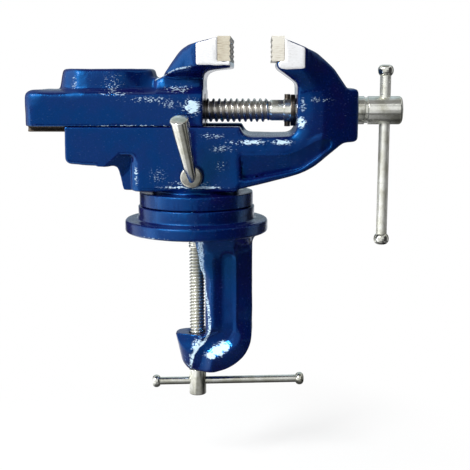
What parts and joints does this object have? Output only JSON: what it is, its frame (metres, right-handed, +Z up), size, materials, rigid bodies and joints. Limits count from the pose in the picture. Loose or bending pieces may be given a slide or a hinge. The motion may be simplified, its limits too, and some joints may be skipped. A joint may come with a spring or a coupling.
{
  "type": "clamp-on bench vise",
  "caption": "Small clamp-on bench vise with serrated jaws, a dovetail slide with an anvil, a swivel base with a lock lever, and a screw clamp for the bench edge.",
  "frame": {"origin": "on the swivel axis, in the underside of the round plate that sits on the bench", "axes": "+X along the main screw toward its handle, +Y away from the lock lever, +Z up along the swivel axis"},
  "size_m": [0.1902, 0.0839, 0.1888],
  "materials": {
    "blue_enamel": "glossy enamel over a cast surface",
    "bare_steel": "bright machined steel",
    "nickel_plate": "satin nickel plate",
    "dark_steel": "oiled dark steel"
  },
  "bodies": {
    "base": {"clamp_frame": "blue_enamel"},
    "body": {"vise_body": "blue_enamel", "fixed_jaw_plate": "bare_steel", "fixed_jaw_screws": "dark_steel"},
    "lock": {"lock_screw": "nickel_plate", "lock_lever": "nickel_plate"},
    "main_screw": {"spindle": "bare_steel", "cross_pin": "dark_steel", "inner_thrust_washer": "bare_steel", "outer_thrust_washer": "nickel_plate"},
    "slide": {"sliding_jaw": "blue_enamel", "sliding_jaw_plate": "bare_steel", "sliding_jaw_screws": "dark_steel", "spindle_nut": "dark_steel", "nut_pin": "dark_steel"},
    "main_handle": {"handle_bar": "nickel_plate", "handle_knob_top": "nickel_plate", "handle_knob_bottom": "nickel_plate"},
    "pad": {"clamp_pad": "bare_steel"},
    "bench_screw": {"clamp_screw": "bare_steel"},
    "bench_handle": {"clamp_bar": "nickel_plate", "clamp_knob_left": "nickel_plate", "clamp_knob_right": "nickel_plate"}
  },
  "joints": [
    {"name": "swivel", "type": "hinge", "parent": "base", "child": "body", "pos_m": [0, 0, 0.0139], "axis": [0, 0, 1], "continuous": true},
    {"name": "lock_turn", "type": "hinge", "parent": "body", "child": "lock", "pos_m": [-0.0005, -0.0272, 0.0308], "axis": [0, 1, 0], "range_deg": [-150, 20]},
    {"name": "screw_turn", "type": "hinge", "parent": "body", "child": "main_screw", "pos_m": [0.0824, 0, 0.0627], "axis": [1, 0, 0], "range_deg": [-2330, 3842]},
    {"name": "jaw_travel", "type": "slide", "parent": "body", "child": "slide", "axis": [1, 0, 0], "range_m": [-0.032, 0.0194]},
    {"name": "handle_slide", "type": "slide", "parent": "main_screw", "child": "main_handle", "axis": [0, 0, 1], "range_m": [-0.0099, 0.0567]},
    {"name": "clamp_feed", "type": "slide", "parent": "base", "child": "pad", "axis": [0, 0, 1], "range_m": [-0.04, 0]},
    {"name": "clamp_turn", "type": "hinge", "parent": "pad", "child": "bench_screw", "pos_m": [0, 0, -0.0756], "axis": [0, 0, 1], "range_deg": [-8230, 0]},
    {"name": "clamp_handle_slide", "type": "slide", "parent": "bench_screw", "child": "bench_handle", "axis": [0.9962, 0.0872, 0], "range_m": [-0.0486, 0.0154]}
  ],
  "couplings": [
    {"joint": "screw_turn", "follows": "jaw_travel", "rad_per_m": -2094.4},
    {"joint": "clamp_turn", "follows": "clamp_feed", "rad_per_m": 3590.4}
  ]
}
